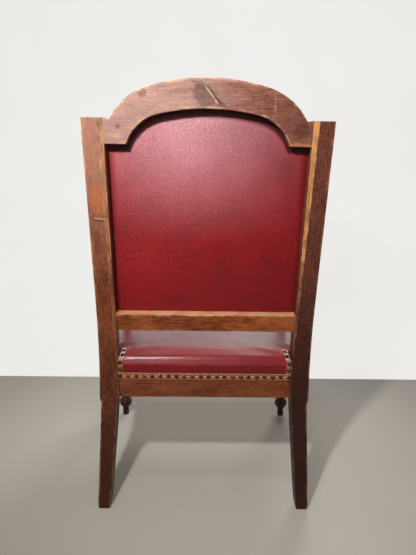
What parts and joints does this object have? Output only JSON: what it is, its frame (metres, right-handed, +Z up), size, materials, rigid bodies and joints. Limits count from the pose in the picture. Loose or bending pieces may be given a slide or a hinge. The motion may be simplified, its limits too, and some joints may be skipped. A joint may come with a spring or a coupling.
{
  "type": "open armchair",
  "caption": "High-backed open armchair: raked oak back with an arched crest, stuffed leather seat and back with nailed trim, shaped arms on turned front posts.",
  "frame": {"origin": "on the floor, under the middle of the chair's width and depth", "axes": "+Z up, the sitter faces -Y, and the sitter's left hand is at +X"},
  "size_m": [0.726, 0.676, 1.2039],
  "materials": {
    "oak": "satin",
    "red_leather": "satin",
    "stuffing": "matte",
    "webbing": "matte",
    "hessian": "matte",
    "trim": "matte",
    "nail_bronze": "satin"
  },
  "bodies": {
    "root": {"back_hessian": "hessian", "back_nails": "nail_bronze", "back_stuffing": "stuffing", "back_trim": "trim", "back_webbing": "webbing", "crest_rail": "oak", "front_seat_nails": "nail_bronze", "front_seat_rail": "oak", "front_seat_trim": "trim", "inside_back_leather": "red_leather", "left_arm": "oak", "left_front_corner_block": "oak", "left_front_post": "oak", "left_rear_corner_block": "oak", "left_seat_nails": "nail_bronze", "left_seat_rail": "oak", "left_seat_trim": "trim", "left_stile": "oak", "lower_back_rail": "oak", "outside_back_leather": "red_leather", "rear_seat_nails": "nail_bronze", "rear_seat_rail": "oak", "rear_seat_trim": "trim", "right_arm": "oak", "right_front_corner_block": "oak", "right_front_post": "oak", "right_rear_corner_block": "oak", "right_seat_nails": "nail_bronze", "right_seat_rail": "oak", "right_seat_trim": "trim", "right_stile": "oak", "seat_hessian": "hessian", "seat_leather": "red_leather", "seat_stuffing": "stuffing", "seat_webbing": "webbing"}
  },
  "joints": []
}
